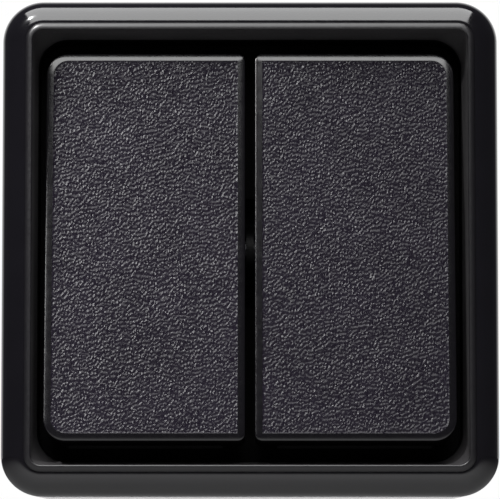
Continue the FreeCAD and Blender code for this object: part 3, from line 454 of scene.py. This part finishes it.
@dataclass
class Housing:
    """Black cover: rolled glossy rim, bead, steep funnel, sloped ledge and a well with a floor."""

    roll: float = 3.15
    bead_height: float = 0.45
    bead_width: float = 0.95
    bead_setback: float = 0.05
    bead_run: float = 0.72
    bead_rise: float = 0.44
    crest_round: float = 0.2
    least_corner: float = 0.05
    funnel_draft: float = 0.1
    funnel_drop: float = 5.5
    ledge_width: float = 0.35
    ledge_drop: float = 1.0
    ledge_thickness: float = 1.5
    corner: float = 5.5
    opening_corner: float = 4.0
    well_wall: float = 1.5
    wall: float = 2.0
    wall_levels: tuple[float, ...] = (0.3, 16.0)
    inner_band: float = 15.0
    floor_thickness: float = 1.5
    window_margin: float = 1.75
    window_half_height: float = 7.5
    window_corner: float = 1.5
    screw_hole: float = 1.7
    screw_head: float = 1.5
    knockout_half_width: float = 8.0
    knockout_top: float = 14.0
    knockout_slope: float = 0.1
    knockout_depth: float = 1.2
    side_steps: int = 96
    corner_steps: int = 28
    roll_steps: int = 24
    bead_steps: int = 8
    crest_steps: int = 6
    window_steps: int = 8
    hole_steps: int = 32
    well_rings: int = 3
    sharp_degrees: float = 32.0
    # The funnel's finish is painted light: a lighter copy of the moulding's black.
    finishes: tuple[str, ...] = ("gloss_black", "bead_black", "funnel_black_painted_light", "well_black_painted_shade")

    def __post_init__(self) -> None:
        """Take the overall size and the floor's level from the frame."""
        low, high = box_mm("housing")
        self.half = (high[0] - low[0]) / 2
        self.depth = -low[1]
        self.deck = self.depth - self.bead_height
        self.bead_half = self.half - self.roll - self.bead_setback
        self.bead_corner = self.corner - self.roll - self.bead_setback
        self.crest_half = self.bead_half - self.bead_width
        self.crest_corner = self.bead_corner - self.bead_width
        self.foot_half = self.crest_half - self.funnel_draft
        self.opening_half = self.foot_half - self.ledge_width
        self.ledge = self.depth - self.funnel_drop
        self.ledge_edge = self.ledge - self.ledge_drop
        self.floor = -box_mm("housing_screw_upper")[0, 1] - self.screw_head
        # The well's finish is painted shade, darker than the funnel's above it.
        self.well_slot = len(self.finishes) - 1

    def outside(self) -> list[Ring]:
        """Outer wall, roll and deck, up to the crease at the bead's foot.

        The roll is a quarter circle from the wall to the deck, and the corner's radius shrinks
        with it, so that the whole rim is one tube bent round the corner.

        Returns:
            Rings from the wall face to the crease.
        """
        rings = [Ring(self.half, self.half, self.corner, level) for level in (0.0, *self.wall_levels)]
        for angle in np.linspace(0, math.pi / 2, self.roll_steps + 1):
            inset = self.roll * (1 - math.cos(angle))
            level = self.deck - self.roll + self.roll * math.sin(angle)
            rings.append(Ring(self.half - inset, self.half - inset, self.corner - inset, level))
        return rings

    def inside(self) -> list[Ring]:
        """Bead, funnel, ledge and the well's wall, from the crease down to the floor.

        The bead's outer side is a quarter ellipse, and a small arc turns its crest into the
        funnel, whose corner widens on the way down to that of the ledge.

        Returns:
            Rings from the crease to the floor.
        """
        rings = [Ring(self.bead_half, self.bead_half, self.bead_corner, self.deck)]
        base = self.depth - self.bead_rise
        for angle in np.linspace(0, math.pi / 2, self.bead_steps + 1):
            inset = self.bead_run * (1 - math.cos(angle))
            half = self.bead_half - inset
            rings.append(Ring(half, half, self.bead_corner - inset, base + self.bead_rise * math.sin(angle)))
        lean = math.atan2(self.funnel_draft, self.funnel_drop)
        for angle in np.linspace(0, math.pi / 2 - lean, self.crest_steps + 1):
            inset = self.crest_round * (math.sin(angle) - 1)
            half = self.crest_half - inset
            drop = self.crest_round * (1 - math.cos(angle))
            corner = max(self.crest_corner - inset, self.least_corner)
            rings.append(Ring(half, half, corner, self.depth - drop))
        foot_corner = self.opening_corner + self.ledge_width
        for share in (0.5, 1.0):
            half = self.crest_half - self.funnel_draft * share
            corner = self.crest_corner + (foot_corner - self.crest_corner) * share
            rings.append(Ring(half, half, corner, self.depth - self.funnel_drop * share))
        opening = self.opening_half
        for level in (self.ledge_edge, (self.ledge_edge + self.floor) / 2, self.floor):
            rings.append(Ring(opening, opening, self.opening_corner, level))
        return rings

    def back(self) -> list[Ring]:
        """Well's back, the ledge's underside and the inner wall down to the wall face.

        Returns:
            Rings from the floor's underside to the wall face.
        """
        well = self.opening_half + self.well_wall
        well_corner = self.opening_corner + self.well_wall
        under = self.ledge_edge - self.ledge_thickness
        inner = self.half - self.wall
        inner_corner = self.corner - self.wall
        top = self.knockout_top
        levels = (under, self.inner_band, top, top - self.knockout_slope, top / 2, 0.0)
        rings = [Ring(well, well, well_corner, level) for level in (self.floor - self.floor_thickness, under)]
        return rings + [Ring(inner, inner, inner_corner, level) for level in levels]

    def knock_out(self, points: np.ndarray) -> np.ndarray:
        """Thin the top and bottom walls behind their knock-outs.

        Points of the inner wall that lie inside the outline are moved outwards by its depth.

        Args:
            points: Points of the inner wall's rings.

        Returns:
            The moved points.
        """
        moved = points.copy()
        on_wall = np.abs(np.abs(points[:, 1]) - (self.half - self.wall)) < NEAR
        below = points[:, 2] < self.knockout_top - self.knockout_slope / 2
        chosen = on_wall & below & (np.abs(points[:, 0]) < self.knockout_half_width)
        moved[chosen, 1] += np.sign(points[chosen, 1]) * self.knockout_depth
        return moved

    def screw_holes(self) -> list[tuple[float, float]]:
        """Places of the two holes, over the screws of the frame.

        Returns:
            Both holes' x and y.
        """
        places = []
        for name in ("upper", "lower"):
            low, high = box_mm(f"housing_screw_{name}")
            places.append(((low[0] + high[0]) / 2, (low[2] + high[2]) / 2))
        return places

    def build(self) -> bpy.types.Object:
        """Carry the profile round the switch and close it with the pierced floor.

        The finishes follow each other along the profile: the last step of the crest belongs to
        the funnel, and the well begins at the ledge's edge.

        Returns:
            The housing's piece.
        """
        draft = MeshDraft()
        steps = (self.side_steps, self.corner_steps)
        outside = [ring.points(*steps) for ring in self.outside()]
        inside = [ring.points(*steps) for ring in self.inside()]
        back = [self.knock_out(ring.points(*steps)) for ring in self.back()]
        count = len(outside[0])
        firsts = [draft.add_points(ring) for ring in outside + inside + back]
        inner_start = len(outside)
        back_start = inner_start + len(inside)
        funnel_start = inner_start + self.bead_steps + self.crest_steps + 1
        borders = (inner_start, funnel_start, back_start - self.well_rings)
        for index in range(len(firsts) - 1):
            if index + 1 != back_start:
                slot = sum(index >= border for border in borders)
                draft.add_quads(loop_strip(count, firsts[index], firsts[index + 1]), slot)
        draft.add_quads(loop_strip(count, firsts[-1], firsts[0]), self.well_slot)
        self.close_floor(draft, (firsts[back_start - 1], inside[-1]), (firsts[back_start], back[0]))
        piece = draft.finish("housing_shell", self.sharp_degrees)
        for finish in self.finishes:
            piece.data.materials.append(MATERIALS[finish])
        return piece

    def close_floor(self, draft: MeshDraft, upper: tuple, lower: tuple) -> None:
        """Fill the well's floor between its outline, the window and the screw holes.

        Args:
            draft: Mesh to add to.
            upper: First index and points of the well's ring on top of the floor.
            lower: The same for the ring under the floor.
        """
        half_width = self.opening_half - self.window_margin
        window = Ring(half_width, self.window_half_height, self.window_corner, self.floor)
        cut_outs = [window.points(self.window_steps, self.window_steps)]
        turn = np.linspace(0, math.tau, self.hole_steps + 1)[:-1]
        for x, y in self.screw_holes():
            circle = np.stack([np.cos(turn), np.sin(turn)], axis=1) * self.screw_hole + (x, y)
            cut_outs.append(np.column_stack([circle, np.full(len(turn), self.floor)]))
        tops, bottoms = [], []
        for outline in cut_outs:
            below = outline - (0, 0, self.floor_thickness)
            top, bottom = draft.add_points(outline), draft.add_points(below)
            tops.append((top, outline))
            bottoms.append((bottom, below))
            draft.add_quads(loop_strip(len(outline), top, bottom), self.well_slot)
        draft.add_flat([upper, *tops], True, self.well_slot)
        draft.add_flat([lower, *bottoms], False, self.well_slot)


@dataclass(frozen=True)
class Grain:
    """Spark eroded grain: rounded pebbles of one size, a little longer along one direction."""

    pitch: float = 0.38
    spread: float = 0.60
    depth: float = 0.070
    raster: float = 0.07
    stretch: float = 1.5
    lean_degrees: float = 80.0
    seed: int = 11

    def field(self, width: float, height: float) -> np.ndarray:
        """Height of the grain over a rectangle.

        White noise is filtered to an oval ring of wavelengths, the pitch across the lean and the
        pitch times the stretch along it. The result is brought to unit spread and squashed by a
        hyperbolic tangent, which flattens the tops and floors of the pebbles.

        Args:
            width: Width of the rectangle.
            height: Height of the rectangle.

        Returns:
            Raster of heights, rows up the wall.
        """
        shape = (int(height / self.raster) + 2, int(width / self.raster) + 2)
        chance = np.random.default_rng(self.seed)
        waves = np.fft.rfft2(chance.standard_normal(shape))
        across = np.fft.rfftfreq(shape[1], self.raster)
        along = np.fft.fftfreq(shape[0], self.raster)
        lean = math.radians(self.lean_degrees)
        with_lean = across[None, :] * math.cos(lean) + along[:, None] * math.sin(lean)
        over_lean = along[:, None] * math.cos(lean) - across[None, :] * math.sin(lean)
        pace = np.hypot(with_lean * self.stretch, over_lean)
        centre = 1 / self.pitch
        waves *= np.exp(-((pace - centre) / (centre * self.spread)) ** 2)
        heights = np.fft.irfft2(waves, shape)
        return np.tanh(heights / heights.std()) * self.depth

    def sample(self, field: np.ndarray, x: np.ndarray, y: np.ndarray) -> np.ndarray:
        """Read the raster at points, straight between its four nearest values.

        Args:
            field: Raster of heights.
            x: Distance from the raster's left edge.
            y: Distance from its lower edge.

        Returns:
            Height at each point.
        """
        column, row = x / self.raster, y / self.raster
        left = np.clip(column.astype(int), 0, field.shape[1] - 2)
        low = np.clip(row.astype(int), 0, field.shape[0] - 2)
        part_x, part_y = column - left, row - low
        bottom = field[low, left] * (1 - part_x) + field[low, left + 1] * part_x
        top = field[low + 1, left] * (1 - part_x) + field[low + 1, left + 1] * part_x
        return bottom * (1 - part_y) + top * part_y


@dataclass
class Rocker:
    """Rocker cap: grained face, smooth rounded edge, skirt with end lips, notch and catches."""

    side: Side
    grain: Grain
    split: float = 1.3
    side_gap: float = 1.1
    end_gap: float = 2.3
    rise: float = 4.2
    skirt_reach: float = 2.4
    edge: float = 1.0
    edge_turns: tuple[tuple[float, float, int], ...] = ((0.8, 2.5, 3), (6.4, 10.0, 5))
    edge_rings: int = 14
    far_corner: float = 3.0
    near_corner: float = 1.0
    wall: float = 1.5
    face: float = 1.8
    skirt_band: float = 1.5
    lip_reach: float = 0.4
    lip_height: float = 0.7
    lip_slope: float = 0.04
    notch: float = 1.45
    notch_steps: tuple[float, float] = (0.05, 0.03)
    tilt_degrees: float = 4.5
    cell: float = 0.132
    corner_rows: int = 24
    fade: float = 0.12
    catch_width: float = 10.0
    catch_thickness: float = 1.1
    catch_hook: float = 0.6
    catch_hook_height: float = 0.45
    catch_gap: float = 0.1
    catch_root: float = 0.05
    plate_half: float = 10.0
    plate: float = 1.5
    sharp_degrees: float = 35.0
    finishes: tuple[str, ...] = ("satin_black", "edge_black", "skirt_black")

    def __post_init__(self) -> None:
        """Take the place and the outline from the pin, the cradle and the housing."""
        pin = box_mm("pivot_pin").mean(axis=0)
        cradle = box_mm(f"cradle_{self.side.word}").mean(axis=0)
        self.place = (cradle[0], -pin[1])
        opening = Housing().opening_half
        self.half = (opening - self.side_gap - self.split / 2) / 2
        self.length = opening - self.end_gap

    def rows_at(self, inset: float) -> np.ndarray:
        """Rows of the outline at an inset from the skirt.

        Rows are even between the corners and follow even angles round the far corner's arc.

        Args:
            inset: Distance from the outer outline.

        Returns:
            Distances up the rocker, from its lower to its upper end.
        """
        straight = self.length - self.far_corner
        count = int(round(2 * straight / self.cell))
        middle = np.linspace(-straight, straight, count + 1)
        angle = np.linspace(0, math.pi / 2, self.corner_rows + 1)[1:]
        top = straight + (self.far_corner - inset) * np.sin(angle)
        return np.concatenate([-top[::-1], middle, top])

    def width_at(self, rows: np.ndarray, inset: float, corner: float) -> np.ndarray:
        """Half width on one side of the middle at each row, with a quarter circle at both ends.

        Behind the edge the circle's radius stops shrinking at half the near corner's.

        Args:
            rows: Distances up the rocker.
            inset: Distance from the outer outline.
            corner: Corner radius of that side on the outer outline.

        Returns:
            Distance from the middle to the outline.
        """
        radius = max(corner - inset, self.near_corner / 2) if inset > self.edge else corner - inset
        reach = np.abs(rows).max() - radius
        past = np.clip(np.abs(rows) - reach, 0, radius)
        return self.half - inset - radius + np.sqrt(np.maximum(radius ** 2 - past ** 2, 0))

    def sides_at(self, inset: float) -> tuple[np.ndarray, np.ndarray, np.ndarray]:
        """Rows with the left and the right end of each.

        Args:
            inset: Distance from the outer outline.

        Returns:
            The rows, the left ends and the right ends.
        """
        rows = self.rows_at(inset)
        far = self.width_at(rows, inset, self.far_corner)
        near = self.width_at(rows, inset, self.near_corner)
        if self.side is Side.LEFT:
            return rows, -far, near
        return rows, -near, far

    def columns(self) -> np.ndarray:
        """Even shares across the rocker."""
        count = int(round(2 * (self.half - self.edge) / self.cell))
        return np.linspace(0, 1, count + 1)

    def loop(self, inset: float) -> np.ndarray:
        """Closed outline at an inset, anticlockwise, with the same points as the face's rim.

        Args:
            inset: Distance from the outer outline.

        Returns:
            Array of x and y.
        """
        rows, left, right = self.sides_at(inset)
        share = self.columns()[1:-1]
        top = left[-1] + (right[-1] - left[-1]) * share[::-1]
        bottom = left[0] + (right[0] - left[0]) * share
        x = np.concatenate([right, top, left[::-1], bottom])
        ends = np.ones(len(share))
        y = np.concatenate([rows, ends * rows[-1], rows[::-1], ends * rows[0]])
        return np.stack([x, y], axis=1)

    def face_points(self) -> np.ndarray:
        """Grid of the face in x, y and z, with the grain pressed into it.

        The grain fades to nothing over the last stretch before the smooth edge.

        Returns:
            Array of rows by columns by three.
        """
        rows, left, right = self.sides_at(self.edge)
        share = self.columns()
        x = left[:, None] + (right - left)[:, None] * share[None, :]
        y = np.repeat(rows[:, None], len(share), axis=1)
        field = self.grain.field(2 * self.half, 2 * self.length)
        height = self.grain.sample(field, x + self.half, y + self.length)
        room_x = np.minimum(x - left[:, None], right[:, None] - x)
        room_y = self.length - self.edge - np.abs(y)
        share_in = np.clip(np.minimum(room_x, room_y) / self.fade, 0, 1)
        return np.stack([x, y, self.rise + (height - self.grain.depth) * share_in], axis=2)

    def foot_level(self, plan: np.ndarray) -> np.ndarray:
        """Lower edge of the skirt, raised over the pin in the side that the pin passes.

        Inside the notch's width the edge lies on the upper half of a circle about the pin.

        Args:
            plan: Outline's x and y.

        Returns:
            Level of the edge at each point.
        """
        level = np.full(len(plan), -self.skirt_reach)
        in_pin_side = -self.side.value * plan[:, 0] > self.half - self.wall * 1.5
        over = (np.abs(plan[:, 1]) < self.notch) & in_pin_side
        level[over] = np.sqrt(self.notch ** 2 - plan[over, 1] ** 2)
        return level

    def with_lips(self, plan: np.ndarray) -> np.ndarray:
        """Outline with the lips of both ends.

        Args:
            plan: Outline's x and y.

        Returns:
            The outline, moved out at the ends between the far corners' radii.
        """
        moved = plan.copy()
        ends = (np.abs(plan[:, 1]) > self.length - NEAR) & (np.abs(plan[:, 0]) < self.half - self.far_corner)
        moved[ends, 1] += np.sign(plan[ends, 1]) * self.lip_reach
        return moved

    def stand(self, points: np.ndarray) -> np.ndarray:
        """Tilt the cap about its pivot, upper end in, and put it in its place.

        Args:
            points: Points about the pivot, z out of the face.

        Returns:
            Points in bench millimetres.
        """
        tilt = math.radians(self.tilt_degrees)
        y = points[:, 1] * math.cos(tilt) + points[:, 2] * math.sin(tilt)
        z = points[:, 2] * math.cos(tilt) - points[:, 1] * math.sin(tilt)
        return np.stack([points[:, 0] + self.place[0], y, z + self.place[1]], axis=1)

    def build(self) -> bpy.types.Object:
        """Make the cap from its face grid, the edge's rings, the skirt and the hollow back.

        Returns:
            The rocker's piece.
        """
        draft = MeshDraft()
        grid = self.face_points()
        row_count, column_count = grid.shape[:2]
        first = draft.add_points(self.stand(grid.reshape(-1, 3)))
        index = first + np.arange(row_count * column_count).reshape(row_count, column_count)
        cells = [index[:-1, :-1], index[:-1, 1:], index[1:, 1:], index[1:, :-1]]
        draft.add_quads(np.stack([cell.ravel() for cell in cells], axis=1))
        rim = np.concatenate([index[:, -1], index[-1, -2:0:-1], index[::-1, 0], index[0, 1:-1]])
        rings = self.skirt_rings()
        firsts = [draft.add_points(self.stand(ring)) for ring in rings]
        count = len(rim)
        here = np.arange(count)
        after = (here + 1) % count
        draft.add_quads(np.stack([firsts[0] + here, firsts[0] + after, rim[after], rim[here]], axis=1), 1)
        for place, (upper, lower) in enumerate(zip(firsts, firsts[1:])):
            draft.add_quads(loop_strip(count, lower, upper), 1 if place < self.edge_rings - 1 else 2)
        draft.add_flat([(firsts[-1], rings[-1])], False, 2)
        for end in (-1, 1):
            self.add_catch(draft, end)
        piece = draft.finish(f"rocker_cap_{self.side.word}", self.sharp_degrees)
        for finish in self.finishes:
            piece.data.materials.append(MATERIALS[finish])
        return piece

    def skirt_rings(self) -> list[np.ndarray]:
        """Rings from the face's edge down the skirt, under it and up to the back of the face.

        The edge is a chain of arcs, each with its radius and the angle that it turns up to. The
        last arc takes what is left of the edge's width and turns on to a right angle.

        Returns:
            Arrays of points.
        """
        rings = []
        out, down, turned = 0.0, 0.0, 0.0
        steps = self.edge_rings - sum(turn[2] for turn in self.edge_turns)
        for radius, degrees, count in (*self.edge_turns, (None, 90.0, steps)):
            if radius is None:
                radius = (self.edge - out) / (1 - math.sin(turned))
            for angle in np.linspace(turned, math.radians(degrees), count + 1)[1:]:
                plan = self.loop(self.edge - out - radius * (math.sin(angle) - math.sin(turned)))
                level = self.rise - down - radius * (math.cos(turned) - math.cos(angle))
                rings.append(np.column_stack([plan, np.full(len(plan), level)]))
            out += radius * (math.sin(angle) - math.sin(turned))
            down += radius * (math.cos(turned) - math.cos(angle))
            turned = angle
        outline = self.loop(0.0)
        lipped = self.with_lips(outline)
        inner = self.loop(self.wall)
        foot = self.foot_level(outline)
        under = np.full(len(inner), self.rise - self.face)
        lip_top = self.lip_height - self.skirt_reach
        above, lower = self.notch_steps
        levels = (self.skirt_band, lip_top + self.lip_slope)
        rows = [(outline, np.maximum(foot + above, level)) for level in levels]
        rows += [(lipped, np.maximum(foot + lower, lip_top)), (lipped, foot), (inner, foot), (inner, under)]
        return rings + [np.column_stack(row) for row in rows]

    def add_catch(self, draft: MeshDraft, end: int) -> None:
        """Add one catch behind the face: a rib with a hook under the cradle's plate.

        The section is a six cornered outline, carried across the catch's width.

        Args:
            draft: Mesh to add to.
            end: Which end of the cradle's plate.
        """
        under = self.rise - self.face
        hook_top = under - self.plate - self.catch_gap
        low = hook_top - self.catch_hook_height
        root = under + self.catch_root
        inner = self.plate_half + self.catch_gap
        outer = inner + self.catch_thickness
        section = np.array([
            (inner, root), (inner, hook_top), (inner - self.catch_hook, hook_top),
            (inner - self.catch_hook, low), (outer, low), (outer, root),
        ])
        half = self.catch_width / 2
        ends = []
        for x in (-half, half):
            points = np.column_stack([np.full(len(section), x), section[:, 0] * end, section[:, 1]])
            ends.append(draft.add_points(self.stand(points)))
        strip = loop_strip(len(section), ends[0], ends[1])
        draft.add_quads(strip if end > 0 else strip[:, ::-1])
        for start, turned in ((ends[0], end < 0), (ends[1], end > 0)):
            caps = np.array([(0, 1, 4, 5), (1, 2, 3, 4)]) + start
            draft.add_quads(caps[:, ::-1] if turned else caps)


@dataclass
class Mechanism:
    """All other pieces, which keep their CAD meshes and the finishes of their slots; the bearing cover and
    the pivot pin get darker finishes instead, painted shade of the split between the rockers.
    """

    hidden: tuple[str, ...] = ("housing", "rocker_left", "rocker_right")
    # painted shade: these finishes replace the record's slots for pieces seen in the shade of the split
    painted_shade_finishes: dict[str, str] = field(default_factory=lambda: {
        "bearing_cover": "cover_painted_shade", "pivot_pin": "pin_steel_painted_shade"})

    def build(self) -> None:
        """Dress each CAD node with the finish of its slot in the record, or with its painted-shade finish
        where one is listed.
        """
        slots = {row["node"]: row["material_slot"] for row in frame["record"]["subparts"]}
        for name, node in frame["nodes"].items():
            if name in self.hidden:
                continue
            material = MATERIALS[self.painted_shade_finishes.get(name, slots[name])]
            if not node.material_slots:
                node.data.materials.append(material)
            for holder in node.material_slots:
                holder.material = material
            LOG.info("%s: CAD mesh with %s", name, slots[name])


@dataclass(frozen=True)
class Softbox:
    """Rectangular light, with its place, the point that it faces, its size, power and beam."""

    name: str
    place: tuple[float, float, float]
    aim: tuple[float, float, float]
    size: tuple[float, float]
    watts: float
    beam_degrees: float = 180.0

    def hang(self, lit: list[bpy.types.Object] | None = None) -> None:
        """Hang the light.

        Args:
            lit: Pieces that it lights, as a masked spotlight does, or None for everything.
        """
        light = bpy.data.lights.new(self.name, "AREA")
        light.shape = "RECTANGLE"
        light.size, light.size_y = self.size
        light.energy = self.watts
        light.spread = math.radians(self.beam_degrees)
        lamp = bpy.data.objects.new(self.name, light)
        bpy.context.scene.collection.objects.link(lamp)
        lamp.location = self.place
        toward = Vector(self.aim) - Vector(self.place)
        lamp.rotation_mode = "QUATERNION"
        lamp.rotation_quaternion = toward.to_track_quat("-Z", "Y")
        if lit is not None:
            group = bpy.data.collections.new(f"lit_by_{self.name}")
            for piece in lit:
                group.objects.link(piece)
            lamp.light_linking.receiver_collection = group
        LOG.info("%s: %.2f W", self.name, self.watts)


TOP_PANEL = Softbox("top_panel", (-0.02, -0.56, 0.40), (-0.02, -0.56, 0.0), (0.48, 1.06), 12.0)
LEFT_LAMP = Softbox("left_lamp", (-0.24, -0.24, 0.12), (-0.10, -0.03, -0.008), (0.22, 0.22), 0.36, 30.0)
RIM_LAMP = Softbox("rim_lamp", (-0.148, -0.257, 0.253), (-0.02, -0.03, 0.0), (0.010, 0.010), 0.05, 24.0)


@dataclass
class Studio:
    """Pale floor, soft lights, white surroundings and the camera."""

    faces: list[bpy.types.Object]
    rims: list[bpy.types.Object]
    distance: float = 0.45
    elevation_degrees: float = -5.0
    image_width: float = 0.0660
    sensor: float = 36.0
    aim_up: float = -0.5
    floor_drop: float = 0.17
    floor_reach: float = 3.0
    floor_colors: tuple[float, float] = (0.50, 0.54)
    floor_roughness: float = 0.8
    room: float = 0.10
    room_color: tuple[float, float, float] = (0.9, 0.9, 1.0)
    backdrop_span: tuple[float, float] = (0.55, 0.75)

    def build(self) -> None:
        """Set up everything that isn't part of the switch."""
        self.add_floor()
        self.add_surroundings()
        TOP_PANEL.hang()
        LEFT_LAMP.hang(self.faces)
        RIM_LAMP.hang(self.rims)
        self.add_camera()
        bpy.context.scene.view_settings.view_transform = "Standard"

    def add_floor(self) -> None:
        """Lay the floor well below the switch."""
        reach, level = self.floor_reach, -self.floor_drop
        signs = ((-1, -1), (1, -1), (1, 1), (-1, 1))
        corners = [(x * reach, y * reach, level) for x, y in signs]
        mesh = bpy.data.meshes.new("floor")
        mesh.from_pydata(corners, [], [(0, 1, 2, 3)])
        floor = bpy.data.objects.new("floor", mesh)
        bpy.context.scene.collection.objects.link(floor)
        graph = Graph("pale_floor")
        graph.color(graph.noise(Noise(60.0)), *((grey,) * 3 for grey in self.floor_colors))
        graph.shader.inputs["Roughness"].default_value = self.floor_roughness
        mesh.materials.append(graph.material)

    def add_surroundings(self) -> None:
        """Light the room dimly, and show it white behind the switch.

        Camera rays see white all round, and glossy and transmission rays see it where they point
        away from the room, over a soft border.
        """
        world = bpy.data.worlds.new("surroundings")
        bpy.context.scene.world = world
        world.use_nodes = True
        nodes, links = world.node_tree.nodes, world.node_tree.links
        nodes.clear()
        output = nodes.new("ShaderNodeOutputWorld")
        dim = nodes.new("ShaderNodeBackground")
        dim.inputs["Color"].default_value = (*self.room_color, 1)
        dim.inputs["Strength"].default_value = self.room
        white = nodes.new("ShaderNodeBackground")
        white.inputs["Strength"].default_value = 1.0
        white.inputs["Color"].default_value = (1, 1, 1, 1)
        path = nodes.new("ShaderNodeLightPath")
        place = nodes.new("ShaderNodeTexCoord")
        split = nodes.new("ShaderNodeSeparateXYZ")
        links.new(place.outputs["Generated"], split.inputs["Vector"])
        behind = nodes.new("ShaderNodeMapRange")
        behind.inputs["From Min"].default_value = self.backdrop_span[0]
        behind.inputs["From Max"].default_value = self.backdrop_span[1]
        links.new(split.outputs["Y"], behind.inputs["Value"])
        shiny = nodes.new("ShaderNodeMath")
        shiny.operation = "MAXIMUM"
        links.new(path.outputs["Is Glossy Ray"], shiny.inputs[0])
        links.new(path.outputs["Is Transmission Ray"], shiny.inputs[1])
        backed = nodes.new("ShaderNodeMath")
        backed.operation = "MULTIPLY"
        links.new(shiny.outputs[0], backed.inputs[0])
        links.new(behind.outputs["Result"], backed.inputs[1])
        either = nodes.new("ShaderNodeMath")
        either.operation = "MAXIMUM"
        links.new(path.outputs["Is Camera Ray"], either.inputs[0])
        links.new(backed.outputs[0], either.inputs[1])
        mix = nodes.new("ShaderNodeMixShader")
        links.new(either.outputs[0], mix.inputs["Fac"])
        links.new(dim.outputs[0], mix.inputs[1])
        links.new(white.outputs[0], mix.inputs[2])
        links.new(mix.outputs[0], output.inputs["Surface"])

    def add_camera(self) -> None:
        """Look at the switch from straight ahead and a little below."""
        camera = bpy.data.cameras.new("camera")
        camera.sensor_width = self.sensor
        camera.lens = self.sensor * self.distance / self.image_width
        viewer = bpy.data.objects.new("camera", camera)
        bpy.context.scene.collection.objects.link(viewer)
        tilt = math.radians(self.elevation_degrees)
        aim = Vector((0, CAD_BOX[0].y, self.aim_up * MM))
        back = Vector((0, -math.cos(tilt), math.sin(tilt)))
        viewer.location = aim + back * self.distance
        viewer.rotation_mode = "QUATERNION"
        viewer.rotation_quaternion = (-back).to_track_quat("-Z", "Y")
        camera.clip_start, camera.clip_end = 0.01, 10
        bpy.context.scene.camera = viewer


def main() -> None:
    """Build every piece in order and report it."""
    logging.basicConfig(level=logging.INFO, format="%(message)s")
    shell = Housing().build()
    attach(shell, "switch_body")
    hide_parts("housing")
    LOG.info("%s: %d faces", shell.name, len(shell.data.polygons))
    caps = []
    for side, seed in ((Side.LEFT, 11), (Side.RIGHT, 12)):
        cap = Rocker(side, Grain(seed=seed)).build()
        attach(cap, f"{side.word}_rocker")
        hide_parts(f"rocker_{side.word}")
        LOG.info("%s: %d faces", cap.name, len(cap.data.polygons))
        caps.append(cap)
    Mechanism().build()
    Studio(faces=caps, rims=[shell]).build()


if __name__ == "__main__":
    main()
